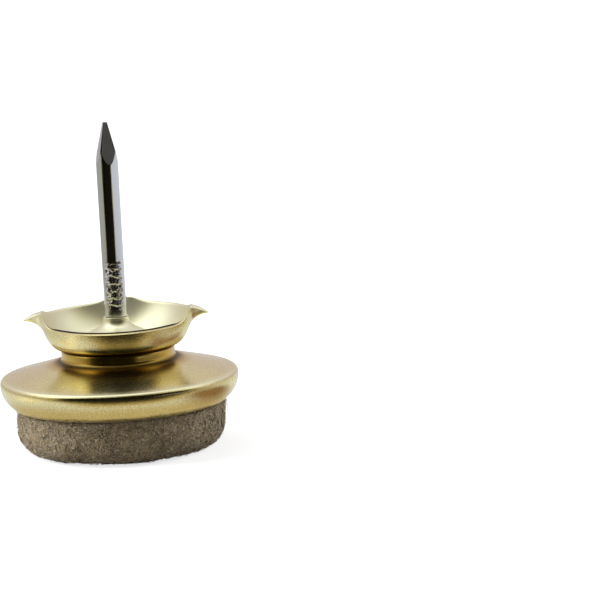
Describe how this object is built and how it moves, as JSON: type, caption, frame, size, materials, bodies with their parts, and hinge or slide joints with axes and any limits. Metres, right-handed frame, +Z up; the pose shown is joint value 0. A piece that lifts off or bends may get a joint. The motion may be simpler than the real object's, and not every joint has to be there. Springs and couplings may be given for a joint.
{
  "type": "nail-on furniture glide",
  "caption": "Round felt-bottomed furniture glide with a brass-plated pressed flange, a clawed cup and a steel nail that is driven into the end of a chair or table leg.",
  "frame": {"origin": "centre of the felt's underside, on the floor", "axes": "+Z up along the nail, +Y towards the claw at the back, -Y towards the plain front of the claw cup"},
  "size_m": [0.024, 0.024, 0.0329],
  "materials": {
    "bright_steel": "bright drawn wire",
    "brass_plate": "satin pale brass plating on pressed sheet",
    "grey_plastic": "smooth moulded",
    "wool_felt": "heathered wool felt with loose fibres"
  },
  "bodies": {
    "root": {"nail": "bright_steel", "claw_cup": "brass_plate", "base_shell": "brass_plate", "pad_carrier": "grey_plastic", "felt_pad": "wool_felt"}
  },
  "joints": []
}
